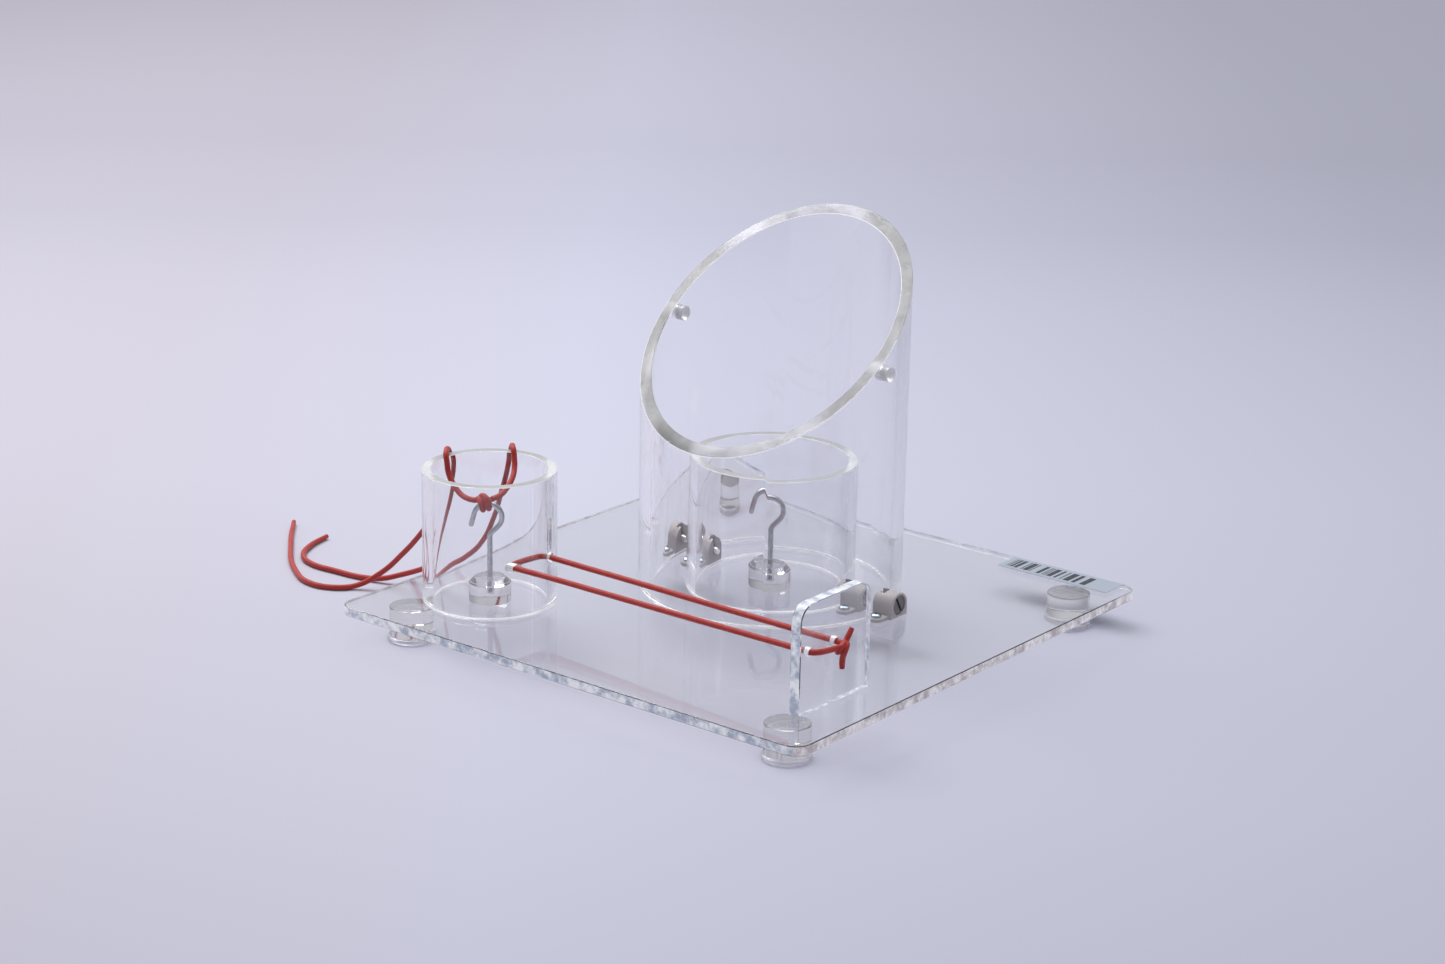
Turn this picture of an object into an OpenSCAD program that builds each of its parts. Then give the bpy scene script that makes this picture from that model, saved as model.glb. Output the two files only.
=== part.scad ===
// Clear acrylic practice board for tying surgical knots: a base plate on four
// feet carries an open cup and a pair of tubes, each with a screw hook in its
// middle, and a post that holds an elastic band stretched from the cup.
// X runs along the front edge, Y to the back, Z up; the pads stand on z = 0.

/* [Base plate] */
// Length of the plate along the front edge
plate_l = 300; // [260:1:400]
// Width of the plate from front to back
plate_w = 300; // [260:1:400]
// Thickness of the plate
plate_t = 5; // [5:0.5:12]
// Radius of the plate's corners
plate_corner = 9; // [2:0.5:20]

/* [Feet] */
// Diameter of a clear foot
foot_d = 23; // [16:0.5:30]
// Height of a clear foot
foot_h = 12; // [6:0.5:30]
// Diameter of the soft pad under a foot
pad_d = 25; // [16:0.5:32]
// Thickness of the soft pad
pad_h = 3; // [1:0.5:6]
// Distance of a foot's axis from both edges of the plate
foot_inset = 27; // [20:1:40]

/* [Cup] */
// Outer diameter of the cup
cup_d = 70; // [60:1:80]
// Wall of the cup
cup_wall = 5; // [3:0.5:8]
// Height of the cup
cup_h = 71; // [60:1:120]
// Distance of the cup's axis from the left edge
cup_from_left = 52.5; // [48:0.5:60]
// Distance of the cup's axis from the front edge
cup_from_front = 59.5; // [50:0.5:70]

/* [Tubes] */
// Outer diameter of the inner tube
inner_d = 90; // [80:1:100]
// Wall of the inner tube
inner_wall = 5; // [3:0.5:8]
// Height of the inner tube
inner_h = 71; // [50:1:80]
// Outer diameter of the outer tube
outer_d = 140; // [136:1:150]
// Wall of the outer tube
outer_wall = 6; // [3:0.5:8]
// Height of the slanted rim at its lowest point
rim_low = 88; // [80:1:120]
// Slope of the slanted rim
rim_slope = 37; // [10:1:45]
// Turn of the rim's low point from the front
rim_turn = 5; // [-20:1:20]
// Distance of the tubes' axis to the left of the plate's middle
tubes_left = 2; // [0:0.5:10]
// Distance of the tubes' axis behind the plate's middle
tubes_back = 24.5; // [15:0.5:40]

/* [Rim pegs] */
// Diameter of a peg
peg_d = 8; // [5:0.5:9]
// Length of a peg
peg_l = 10; // [8:0.5:14]
// Distance of a peg's axis below the rim
peg_drop = 7.5; // [6:0.5:12]

/* [Hooks] */
// Diameter of the hooks' wire
wire_d = 2.8; // [2.4:0.1:3.4]
// Radius of the hooks' ring, to the middle of the wire
ring_r = 7.3; // [6:0.1:9]
// Height of the cup's ring centre above the plate
cup_ring_h = 45; // [38:0.5:56]
// Height of the tubes' ring centre above the plate
tube_ring_h = 42; // [36:0.5:56]
// Direction in which the rings lie
hook_turn = 38; // [0:1:90]
// Diameter of the stand that a hook is screwed into
stand_d = 22; // [16:0.5:26]
// Height of the stand
stand_h = 12.5; // [10:0.5:18]
// Chamfer round the top of the stand
stand_chamfer = 2.5; // [1:0.5:4]

/* [Band post] */
// Width of the post
post_w = 56; // [50:1:70]
// Height of the post
post_h = 55; // [45:1:70]
// Thickness of the post
post_t = 6; // [5:0.5:10]
// Radius of the post's top corners
post_corner = 9; // [3:0.5:15]
// Distance of the post's outer face from the right edge
post_from_right = 24; // [22:0.5:30]

/* [Band] */
// Thickness of the elastic band and the tie cord
band_d = 3; // [2:0.1:3]
// Diameter of the holes that the band passes through
band_hole_d = 5; // [4.5:0.1:6]
// Height of the cup's band holes above the plate
cup_hole_h = 27; // [24:0.5:29]
// Height of the post's band holes above the plate
post_hole_h = 30.5; // [28:0.5:33]

/* [Cam connectors] */
// Length of a connector's housing
housing_l = 12; // [12:0.5:16]
// Width of a connector's housing
housing_w = 14; // [13:0.5:16]
// Height of a connector's housing
housing_h = 13; // [12.5:0.5:16]
// Diameter of the slotted cam
cam_d = 10.4; // [8:0.1:10.8]
// Height of the cam's axis above the plate
cam_axis_h = 6.6; // [6.2:0.1:6.8]
// Distance of the connectors behind the tubes' axis
connector_back = 3; // [0:0.5:4]

/* [Label] */
// Length of the blank stock label
label_l = 69; // [40:1:80]
// Width of the blank stock label
label_w = 18; // [10:1:25]

/* [Hidden] */
$fn = 96;
cut = 1; // how far a cutter runs past what it cuts
running_gap = 0.1; // round a part that turns in its bore
seat_gap = 0.3; // between neighbours that don't carry each other
bond_gap = 0.05; // round a pin that is glued or screwed in

plate_bottom = foot_h + pad_h;
plate_top = plate_bottom + plate_t;
left_edge = -plate_l / 2;
right_edge = plate_l / 2;
front_edge = -plate_w / 2;
cup_axis = [left_edge + cup_from_left, front_edge + cup_from_front];
tubes_axis = [-tubes_left, tubes_back];

// The cup's and the post's band holes, as distances in front of or behind the cup's axis
cup_hole_front = -14;
cup_hole_back = 10.5;
post_hole_front = -19.5;
post_hole_back = 1;
post_outer = right_edge - post_from_right;

// Hooks
hook_bore_l = 8;
hook_lift = 0.3; // between the hook's point and the bottom of its bore
ring_shift = -1;
ring_start = -45;
ring_end = 165;
elbow_r = 3;
tip_l = 6;
thread_pitch = 1;
thread_depth = 0.35;

// Cam connectors, measured from the tube that each one holds
back_wall = 2;
pocket_l = 2.6;
cam_recess = 0.6;
cam_end_gap = 0.3;
slot_w = 1.6;
slot_depth = 1.3;
slot_turn = -59;
neck_d = 3.2;
head_d = 6;
head_l = 1.8;
head_gap = 0.4;
slot_join = 0.01; // runs the slot into the cam's bore
slide_gap = 0.4; // on each side of the stud as it lifts out
ear_r = 4.2;
ear_t = 2;
ear_reach = 5; // from the housing's side to the screw
screw_d = 2.6;
screw_head_d = 5.4;
screw_head_h = 2;
screw_bite = 3.2; // depth of the screw in the plate
cross_w = 0.7;
cross_turn = 20;
housing_front = seat_gap + housing_l;

label_t = 0.2;
label_from_right = 9;
label_from_back = 1;

knot_r = 3.9;
knot_clearance = 0.3;
knot_turn = 102; // place of the tie knot on the hook's ring
knot_arc = 44;
post_knot_shift = 1.6; // of the band's knot, down and to the front of its hole
tail_l = 10;
low_tail_l = 11;
tail_turn = -42;

// Route of the elastic band: from the knot on the post, through the front
// holes to the cup, round inside it and back through the rear holes
band_route = [
    [129.5, -96.2, 49.5], [128.9, -103, 50], [127.9, -107.8, 50.5], [125.5, -109.9, 50.5],
    [120, -110, 50.5], [100, -109.4, 50.1], [50, -108.1, 49.2], [0, -106.8, 48.4],
    [-50, -105.2, 47.5], [-66, -104.6, 47], [-70, -104.4, 47], [-72.2, -103.2, 47],
    [-73, -100.8, 47], [-72.4, -84.2, 47], [-71.5, -81.4, 47], [-69.4, -80.1, 47],
    [-66, -80, 47], [-50, -80.6, 47.2], [0, -83.2, 48.2], [50, -86, 49.1], [100, -88.6, 50.1],
    [120, -89.5, 50.5], [126.1, -89.5, 50.5]
];

// Route of the tie cord's left arm: from the knot over the rim to the table
left_route = [
    [-104, -94.5, 73.6], [-108.3, -95.2, 73.7], [-114.5, -95, 75.1], [-120, -94.5, 79.2],
    [-123.7, -93.7, 84], [-124.9, -93.4, 89.3], [-126.4, -92.5, 92.7], [-129, -89.4, 93.4],
    [-131.8, -86, 93.2], [-133.2, -83.6, 92.2], [-133.6, -82.2, 89.8], [-133.8, -81, 84],
    [-137, -81.6, 70], [-146, -81, 53], [-159.5, -77.5, 38.5], [-175, -76, 23], [-189, -79, 9.5],
    [-199, -87, 2.4], [-207.5, -96, 1.6], [-222, -99.5, 1.6], [-242, -91, 1.6],
    [-282, -56.5, 1.6], [-306, -31, 1.6]
];

// Route of the tie cord's right arm
right_route = [
    [-98.3, -87.6, 73.9], [-97, -83.5, 75], [-97.6, -77.5, 77.2], [-99.6, -70.8, 80.6],
    [-102.6, -65.8, 85], [-104.6, -63.8, 89.5], [-106, -62.8, 92.7], [-108.3, -60.9, 93.4],
    [-110.7, -58.5, 93.2], [-112.3, -57.2, 92.2], [-113.1, -57, 89.8], [-113.8, -57.1, 84],
    [-117.5, -58, 69], [-122.5, -59.5, 53], [-130.5, -62.5, 37.2], [-142, -65, 27.3],
    [-156, -65.5, 20], [-172, -64.5, 12], [-186, -65.8, 6], [-196.5, -70.5, 2.6],
    [-208, -74, 1.6], [-226, -76, 1.6], [-246, -76, 1.6], [-259, -69, 1.6], [-268, -55, 1.6],
    [-273, -37, 1.6]
];

// A foot's place: 1 front left, 2 front right, 3 back right, 4 back left
function foot_place(i) = [
    (i == 1 || i == 4 ? -1 : 1) * (plate_l / 2 - foot_inset),
    (i < 3 ? -1 : 1) * (plate_w / 2 - foot_inset)
];

// Connectors 1 and 2 are right and left of the outer tube, 3 and 4 of the inner
function side_of(i) = i % 2 == 1 ? 1 : -1;
function tube_r(i) = i < 3 ? outer_d / 2 : inner_d / 2;
function tube_wall(i) = i < 3 ? outer_wall : inner_wall;

// Height above the plate of the outer tube's rim, at a place measured from its axis
function rim_height(x, y) =
    rim_low + (outer_d / 2 - x * sin(rim_turn) + y * cos(rim_turn)) * tan(rim_slope);

function unit(v) = v / norm(v);
function across(v, t) = unit(v - (v * t) * t);
function side_vectors(t, i, v) =
    i == len(t) ? [] : let (s = across(v, t[i])) concat([s], side_vectors(t, i + 1, s));

// Round cord of diameter d swept along a path
module cord(path, d, sides = 8) {
    last = len(path) - 1;
    along = [for (i = [0:last]) unit(path[min(i + 1, last)] - path[max(i - 1, 0)])];
    side = side_vectors(along, 0, [0.3, 0.5, 0.81]);
    points = [for (i = [0:last], k = [0:sides - 1])
        path[i] + d / 2 * (cos(k * 360 / sides) * side[i] + sin(k * 360 / sides) * cross(along[i], side[i]))];
    walls = [for (i = [0:last - 1], k = [0:sides - 1])
        [i * sides + k, (i + 1) * sides + k, (i + 1) * sides + (k + 1) % sides, i * sides + (k + 1) % sides]];
    start_cap = [for (k = [0:sides - 1]) k];
    end_cap = [for (k = [sides - 1:-1:0]) last * sides + k];
    polyhedron(points, concat(walls, [start_cap, end_cap]), convexity = 6);
}

// Tube standing on the plate, with its axis at the origin
module tube(d, wall, h) {
    difference() {
        cylinder(d = d, h = h);
        translate([0, 0, -cut]) cylinder(d = d - 2 * wall, h = h + 2 * cut);
    }
}

// Round rod along X from x0 to x1
module rod_x(d, x0, x1) {
    translate([x0, 0, 0]) rotate([0, 90, 0]) cylinder(d = d, h = x1 - x0);
}

module base_plate() {
    x = plate_l / 2;
    y = plate_w / 2;
    r = plate_corner;
    color([0.86, 0.88, 0.93, 0.5]) difference() {
        translate([0, 0, plate_bottom]) linear_extrude(plate_t) {
            square([2 * x, 2 * (y - r)], center = true);
            square([2 * (x - r), 2 * y], center = true);
            for (sx = [-1, 1], sy = [-1, 1]) translate([sx * (x - r), sy * (y - r)]) circle(r);
        }
        for (i = [1:4]) at_connector(i) translate([0, 0, -screw_bite])
            ear_place() cylinder(d = screw_d + 2 * bond_gap, h = screw_bite + cut);
    }
}

module foot(i) {
    color([0.86, 0.86, 0.92, 0.5]) translate(foot_place(i)) translate([0, 0, pad_h])
        cylinder(d = foot_d, h = foot_h);
}

module foot_pad(i) {
    color([0.82, 0.82, 0.9, 0.8]) translate(foot_place(i)) cylinder(d = pad_d, h = pad_h);
}

module left_cup() {
    color([0.86, 0.87, 0.92, 0.5]) translate(cup_axis) translate([0, 0, plate_top]) difference() {
        tube(cup_d, cup_wall, cup_h);
        for (y = [cup_hole_front, cup_hole_back]) translate([0, y, cup_hole_h])
            rod_x(band_hole_d, cup_d / 5, cup_d / 2 + cut);
    }
}

// Stand with its chamfered top and the bore that its hook is screwed into
module stand(place) {
    color([0.88, 0.87, 0.9, 0.5]) translate(place) translate([0, 0, plate_top]) difference() {
        union() {
            cylinder(d = stand_d, h = stand_h - stand_chamfer);
            translate([0, 0, stand_h - stand_chamfer])
                cylinder(d1 = stand_d, d2 = stand_d - 2 * stand_chamfer, h = stand_chamfer);
        }
        translate([0, 0, stand_h - hook_bore_l])
            cylinder(d = wire_d + 2 * running_gap, h = hook_bore_l + cut);
    }
}

// Ring of the hook as an arc of wire, with its centre at the origin of the XZ plane
module ring_arc(r, d, from, to) {
    rotate([90, 0, 0]) rotate([0, 0, from]) rotate_extrude(angle = to - from) translate([r, 0]) circle(d = d);
}

// Screw hook with its shank on the Z axis and its ring in the XZ plane
module screw_hook(ring_h) {
    start = [ring_shift + ring_r * cos(ring_start), ring_h + ring_r * sin(ring_start)];
    end = [ring_shift + ring_r * cos(ring_end), ring_h + ring_r * sin(ring_end)];
    corner = elbow_r * tan(-ring_start / 2);
    shank_top = start[1] - start[0] * tan(-ring_start) - corner;
    point = stand_h - hook_bore_l + hook_lift;
    turns = floor((hook_bore_l - hook_lift) / thread_pitch) - 1;
    thread = [for (i = [0:2 * turns])
        [wire_d / 2 - (i % 2 == 0 ? thread_depth : 0), point + thread_pitch * (0.5 + i / 2)]];
    translate([ring_shift, 0, ring_h]) ring_arc(ring_r, wire_d, ring_start, ring_end);
    translate([end[0], 0, end[1]]) rotate([0, -ring_end, 0]) {
        cylinder(d = wire_d, h = tip_l);
        translate([0, 0, tip_l]) sphere(d = wire_d);
    }
    translate([start[0], 0, start[1]]) rotate([0, 180 - ring_start, 0])
        cylinder(d = wire_d, h = start[0] / cos(ring_start) - corner);
    translate([elbow_r, 0, shank_top]) ring_arc(elbow_r, wire_d, 180 + ring_start, 180);
    translate([0, 0, stand_h]) cylinder(d = wire_d, h = shank_top - stand_h);
    rotate_extrude() polygon(concat([[0, point], [wire_d / 4, point]], thread,
        [[wire_d / 2 - thread_depth, stand_h], [0, stand_h]]));
}

module placed_hook(place, ring_h) {
    color([0.68, 0.69, 0.7]) translate(place) translate([0, 0, plate_top]) rotate([0, 0, hook_turn])
        screw_hook(ring_h);
}

module left_stand() { stand(cup_axis); }
module left_hook() { placed_hook(cup_axis, cup_ring_h); }
module right_stand() { stand(tubes_axis); }
module right_hook() { placed_hook(tubes_axis, tube_ring_h); }

// The outer tube's slanted cut, as everything above the rim
module above_rim() {
    reach = 2 * outer_d;
    rotate([0, 0, rim_turn]) translate([-reach, -outer_d / 2, rim_low]) rotate([rim_slope, 0, 0])
        translate([0, -reach / 4, 0]) cube([2 * reach, 2 * reach, reach]);
}

// A rim peg's place: side 1 is the right end of the X axis and -1 the left
module at_peg(side) {
    x = side * (outer_d / 2 - outer_wall / 2);
    translate([0, 0, rim_height(x, 0) - peg_drop]) children();
}

module outer_tube() {
    tall = rim_height(0, outer_d / 2) + outer_d;
    color([0.85, 0.87, 0.92, 0.5]) translate(tubes_axis) translate([0, 0, plate_top]) difference() {
        tube(outer_d, outer_wall, tall);
        above_rim();
        for (side = [-1, 1]) at_peg(side) mirror([side < 0 ? 1 : 0, 0, 0])
            rod_x(peg_d + 2 * bond_gap, outer_d / 2 - outer_wall - cut, outer_d / 2 + cut);
        for (i = [1, 2]) stud_bore(i);
    }
}

module inner_tube() {
    color([0.85, 0.87, 0.92, 0.5]) translate(tubes_axis) translate([0, 0, plate_top]) difference() {
        tube(inner_d, inner_wall, inner_h);
        for (i = [3, 4]) stud_bore(i);
    }
}

// Both pegs stand out of the wall to the right, one into the tube and one out of it
module rim_peg(side) {
    start = side > 0 ? outer_d / 2 - outer_wall : -outer_d / 2;
    color([0.88, 0.88, 0.92, 0.6]) translate(tubes_axis) translate([0, 0, plate_top]) at_peg(side)
        rod_x(peg_d, start, start + peg_l);
}

module rim_peg_left() { rim_peg(-1); }
module rim_peg_right() { rim_peg(1); }

// Connector i stands on the plate against its tube; its X axis points away from the tube
module at_connector(i) {
    translate([tubes_axis[0] + side_of(i) * tube_r(i), tubes_axis[1] + connector_back, plate_top])
        mirror([side_of(i) < 0 ? 1 : 0, 0, 0]) children();
}

module ear_place() {
    translate([seat_gap + housing_l / 2, -housing_w / 2 - ear_reach, 0]) children();
}

module on_cam_axis() {
    translate([0, 0, cam_axis_h]) children();
}

// Way for a round stud that drops in from above
module drop_slot(d, x0, x1) {
    on_cam_axis() {
        rod_x(d, x0, x1);
        translate([x0, -d / 2, 0]) cube([x1 - x0, d, housing_h]);
    }
}

// Hole for a connector's stud in the wall of its tube
module stud_bore(i) {
    translate([0, connector_back, 0]) mirror([side_of(i) < 0 ? 1 : 0, 0, 0]) on_cam_axis()
        rod_x(neck_d + 2 * bond_gap, tube_r(i) - tube_wall(i) - cut, tube_r(i) + cut);
}

module housing(i) {
    arch_r = housing_w / 2;
    color([0.8, 0.77, 0.76]) at_connector(i) difference() {
        union() {
            translate([seat_gap, -arch_r, 0]) cube([housing_l, housing_w, housing_h - arch_r]);
            translate([0, 0, housing_h - arch_r]) rod_x(housing_w, seat_gap, housing_front);
            ear_place() cylinder(r = ear_r, h = ear_t);
            ear_place() translate([-ear_r, 0, 0]) cube([2 * ear_r, ear_reach + 1, ear_t]);
        }
        translate([0, -housing_w, -housing_h]) cube([2 * housing_l, 2 * housing_w, housing_h]);
        on_cam_axis() rod_x(cam_d + 2 * running_gap, seat_gap + back_wall + pocket_l, housing_front + cut);
        drop_slot(neck_d + 2 * slide_gap, 0, seat_gap + back_wall + cut);
        drop_slot(head_d + 2 * slide_gap, seat_gap + back_wall, seat_gap + back_wall + pocket_l + slot_join);
        ear_place() translate([0, 0, -cut]) cylinder(d = screw_d + 2 * bond_gap, h = ear_t + 2 * cut);
    }
}

module cam(i) {
    inner_end = seat_gap + back_wall + pocket_l + cam_end_gap;
    outer_end = housing_front - cam_recess;
    color([0.55, 0.56, 0.57]) at_connector(i) on_cam_axis() rotate([slot_turn, 0, 0]) difference() {
        rod_x(cam_d, inner_end, outer_end);
        translate([outer_end - slot_depth, -cam_d, -slot_w / 2]) cube([slot_depth + cut, 2 * cam_d, slot_w]);
    }
}

module cam_stud(i) {
    head_start = seat_gap + back_wall + head_gap;
    color([0.6, 0.61, 0.63]) at_connector(i) on_cam_axis() {
        rod_x(neck_d, -tube_wall(i) / 2, head_start);
        rod_x(head_d, head_start, head_start + head_l);
    }
}

module housing_screw(i) {
    bowl_r = screw_head_d / 2;
    color([0.62, 0.68, 0.74]) at_connector(i) ear_place() {
        translate([0, 0, -screw_bite + seat_gap]) cylinder(d = screw_d, h = screw_bite + ear_t - seat_gap);
        translate([0, 0, ear_t]) difference() {
            rotate_extrude() {
                square([bowl_r, screw_head_h / 2]);
                intersection() {
                    translate([0, screw_head_h / 2]) scale([1, screw_head_h / 2 / bowl_r]) circle(bowl_r);
                    square([bowl_r, screw_head_h]);
                }
            }
            for (turn = [cross_turn, cross_turn + 90]) rotate([0, 0, turn])
                translate([-screw_head_d / 4, -cross_w / 2, screw_head_h / 2])
                    cube([screw_head_d / 2, cross_w, screw_head_h]);
        }
    }
}

// Upright plate across the band, standing on its edge
module band_post() {
    r = post_corner;
    color([0.86, 0.87, 0.93, 0.5]) translate([post_outer, cup_axis[1], plate_top]) difference() {
        rotate([90, 0, 90]) translate([0, 0, -post_t]) linear_extrude(post_t) {
            translate([-post_w / 2, 0]) square([post_w, post_h - r]);
            translate([-post_w / 2 + r, 0]) square([post_w - 2 * r, post_h]);
            for (s = [-1, 1]) translate([s * (post_w / 2 - r), post_h - r]) circle(r);
        }
        for (y = [post_hole_front, post_hole_back]) translate([0, y, post_hole_h])
            rod_x(band_hole_d, -post_t - cut, cut);
    }
}

module band_loop() {
    color([0.7, 0.2, 0.17]) cord(band_route, band_d);
}

// Knot on the post's outer face, with its two short ends
module band_knot() {
    y = cup_axis[1] + post_hole_back - post_knot_shift;
    z = plate_top + post_hole_h - post_knot_shift;
    color([0.66, 0.17, 0.14]) translate([post_outer + knot_r + seat_gap, y, z]) {
        sphere(r = knot_r);
        rotate([tail_turn, 0, 0]) cylinder(d = band_d, h = tail_l);
        rotate([180, 0, 0]) cylinder(d = band_d, h = low_tail_l);
    }
}

// Knot round the top of the cup's hook, as a sleeve on its wire
module tie_knot() {
    color([0.66, 0.17, 0.14]) translate(cup_axis) translate([0, 0, plate_top + cup_ring_h])
        rotate([0, 0, hook_turn]) translate([ring_shift, 0, 0]) rotate([90, 0, 0])
            rotate([0, 0, knot_turn - knot_arc / 2]) rotate_extrude(angle = knot_arc) translate([ring_r, 0])
                difference() {
                    circle(knot_r);
                    circle(wire_d / 2 + knot_clearance);
                }
}

module tie_cord_left() {
    color([0.7, 0.2, 0.17]) cord(left_route, band_d);
}

module tie_cord_right() {
    color([0.7, 0.2, 0.17]) cord(right_route, band_d);
}

module stock_label() {
    color([0.78, 0.82, 0.86]) translate([
        right_edge - label_from_right - label_l, plate_w / 2 - label_from_back - label_w, plate_top
    ]) cube([label_l, label_w, label_t]);
}

base_plate();
foot(1);  // foot_1
foot(2);  // foot_2
foot(3);  // foot_3
foot(4);  // foot_4
foot_pad(1);  // foot_pad_1
foot_pad(2);  // foot_pad_2
foot_pad(3);  // foot_pad_3
foot_pad(4);  // foot_pad_4
left_cup();
left_stand();
left_hook();
outer_tube();
inner_tube();
right_stand();
right_hook();
rim_peg_left();
rim_peg_right();
housing(1);  // housing_1
housing(2);  // housing_2
housing(3);  // housing_3
housing(4);  // housing_4
cam(1);  // cam_1
cam(2);  // cam_2
cam(3);  // cam_3
cam(4);  // cam_4
cam_stud(1);  // cam_stud_1
cam_stud(2);  // cam_stud_2
cam_stud(3);  // cam_stud_3
cam_stud(4);  // cam_stud_4
housing_screw(1);  // housing_screw_1
housing_screw(2);  // housing_screw_2
housing_screw(3);  // housing_screw_3
housing_screw(4);  // housing_screw_4
band_post();
band_loop();
band_knot();
tie_knot();
tie_cord_left();
tie_cord_right();
stock_label();
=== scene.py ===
from math import cos, pi, radians, sin

import bmesh
import bpy
from mathutils import Matrix, Vector


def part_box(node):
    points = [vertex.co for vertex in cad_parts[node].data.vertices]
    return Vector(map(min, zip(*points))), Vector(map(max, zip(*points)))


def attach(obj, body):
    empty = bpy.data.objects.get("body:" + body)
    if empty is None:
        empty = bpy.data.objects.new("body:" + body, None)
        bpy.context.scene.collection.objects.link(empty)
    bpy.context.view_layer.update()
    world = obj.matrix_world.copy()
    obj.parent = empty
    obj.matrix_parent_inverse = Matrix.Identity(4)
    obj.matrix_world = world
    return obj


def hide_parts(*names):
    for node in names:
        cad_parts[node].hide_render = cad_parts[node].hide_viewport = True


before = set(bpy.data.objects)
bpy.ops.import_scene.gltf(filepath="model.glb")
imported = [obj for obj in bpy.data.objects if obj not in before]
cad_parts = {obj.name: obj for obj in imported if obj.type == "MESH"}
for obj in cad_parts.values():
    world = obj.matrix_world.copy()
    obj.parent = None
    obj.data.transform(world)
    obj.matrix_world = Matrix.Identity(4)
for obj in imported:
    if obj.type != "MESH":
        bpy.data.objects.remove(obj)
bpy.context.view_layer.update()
mm = 0.001
scene = bpy.context.scene
scene.view_settings.view_transform = "Standard"
print("frame loaded")


def middle(node):
    low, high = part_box(node)
    return (Vector(low) + Vector(high)) / 2


def lowest(node):
    return Vector(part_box(node)[0])


def highest(node):
    return Vector(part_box(node)[1])


plateTop = highest("base_plate").z
cupAxis = middle("left_cup")
tubesAxis = middle("inner_tube")
skin = 0.03 * mm  # air between two clear pieces, so that their faces don't coincide


cameraSet = {
    "place": (0.9422, -1.2171, 0.5648),
    "heading": 128.21,  # degrees from the X axis to the view direction
    "down": 17.4,
    "roll": 1.13,
    "lens": 77.39,
    "sensor": 36,
}


def makeCamera(s):
    data = bpy.data.cameras.new("camera")
    data.sensor_width = s["sensor"]
    data.lens = s["lens"]
    data.clip_start = 0.05
    data.clip_end = 60
    camera = bpy.data.objects.new("camera", data)
    scene.collection.objects.link(camera)
    turn, tilt, roll = (radians(s[k]) for k in ("heading", "down", "roll"))
    ahead = Vector((cos(turn) * cos(tilt), sin(turn) * cos(tilt), -sin(tilt)))
    right = ahead.cross(Vector((0, 0, 1))).normalized()
    up = right.cross(ahead)
    rolledRight = cos(roll) * right + sin(roll) * up
    rolledUp = cos(roll) * up - sin(roll) * right
    axes = Matrix((rolledRight, rolledUp, -ahead)).transposed()
    camera.matrix_world = Matrix.Translation(s["place"]) @ axes.to_4x4()
    scene.camera = camera


makeCamera(cameraSet)
print("camera ready")


def addNode(tree, kind, **values):
    node = tree.nodes.new(kind)
    for name, value in values.items():
        if hasattr(node, name):
            setattr(node, name, value)
        else:
            node.inputs[name.replace("_", " ")].default_value = value
    return node


def newGroup(name, inputs, outputs):
    group = bpy.data.node_groups.new(name, "ShaderNodeTree")
    for label, kind, value in inputs:
        socket = group.interface.new_socket(label, in_out="INPUT", socket_type=kind)
        socket.default_value = value
    for label, kind in outputs:
        group.interface.new_socket(label, in_out="OUTPUT", socket_type=kind)
    return group, group.nodes.new("NodeGroupInput"), group.nodes.new("NodeGroupOutput")


def makeGrain():
    # fine grain that can be drawn out along one axis
    group, given, out = newGroup(
        "grain",
        [
            ("Stretch", "NodeSocketVector", (1, 1, 1)),
            ("Scale", "NodeSocketFloat", 500),
            ("Detail", "NodeSocketFloat", 3),
        ],
        [("Height", "NodeSocketFloat")],
    )
    where = group.nodes.new("ShaderNodeTexCoord")
    drawn = addNode(group, "ShaderNodeVectorMath", operation="MULTIPLY")
    noise = addNode(group, "ShaderNodeTexNoise", Roughness=0.6)
    group.links.new(where.outputs["Object"], drawn.inputs[0])
    group.links.new(given.outputs["Stretch"], drawn.inputs[1])
    group.links.new(drawn.outputs[0], noise.inputs["Vector"])
    group.links.new(given.outputs["Scale"], noise.inputs["Scale"])
    group.links.new(given.outputs["Detail"], noise.inputs["Detail"])
    group.links.new(noise.outputs[0], out.inputs["Height"])
    return group


def makeSmudges():
    # soft patches of handling and dust, from Low to High
    group, given, out = newGroup(
        "smudges",
        [
            ("Scale", "NodeSocketFloat", 30),
            ("Low", "NodeSocketFloat", 0.02),
            ("High", "NodeSocketFloat", 0.08),
        ],
        [("Value", "NodeSocketFloat")],
    )
    where = group.nodes.new("ShaderNodeTexCoord")
    noise = addNode(group, "ShaderNodeTexNoise", Detail=4)
    spread = addNode(group, "ShaderNodeMapRange", From_Min=0.35, From_Max=0.7)
    group.links.new(where.outputs["Object"], noise.inputs["Vector"])
    group.links.new(given.outputs["Scale"], noise.inputs["Scale"])
    group.links.new(noise.outputs[0], spread.inputs["Value"])
    group.links.new(given.outputs["Low"], spread.inputs["To Min"])
    group.links.new(given.outputs["High"], spread.inputs["To Max"])
    group.links.new(spread.outputs[0], out.inputs["Value"])
    return group


grainGroup = makeGrain()
smudgeGroup = makeSmudges()


def startMaterial(name):
    material = bpy.data.materials.new(name)
    material.use_nodes = True
    tree = material.node_tree
    tree.nodes.clear()
    out = tree.nodes.new("ShaderNodeOutputMaterial")
    shader = tree.nodes.new("ShaderNodeBsdfPrincipled")
    tree.links.new(shader.outputs[0], out.inputs["Surface"])
    return material, tree, shader, out


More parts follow.
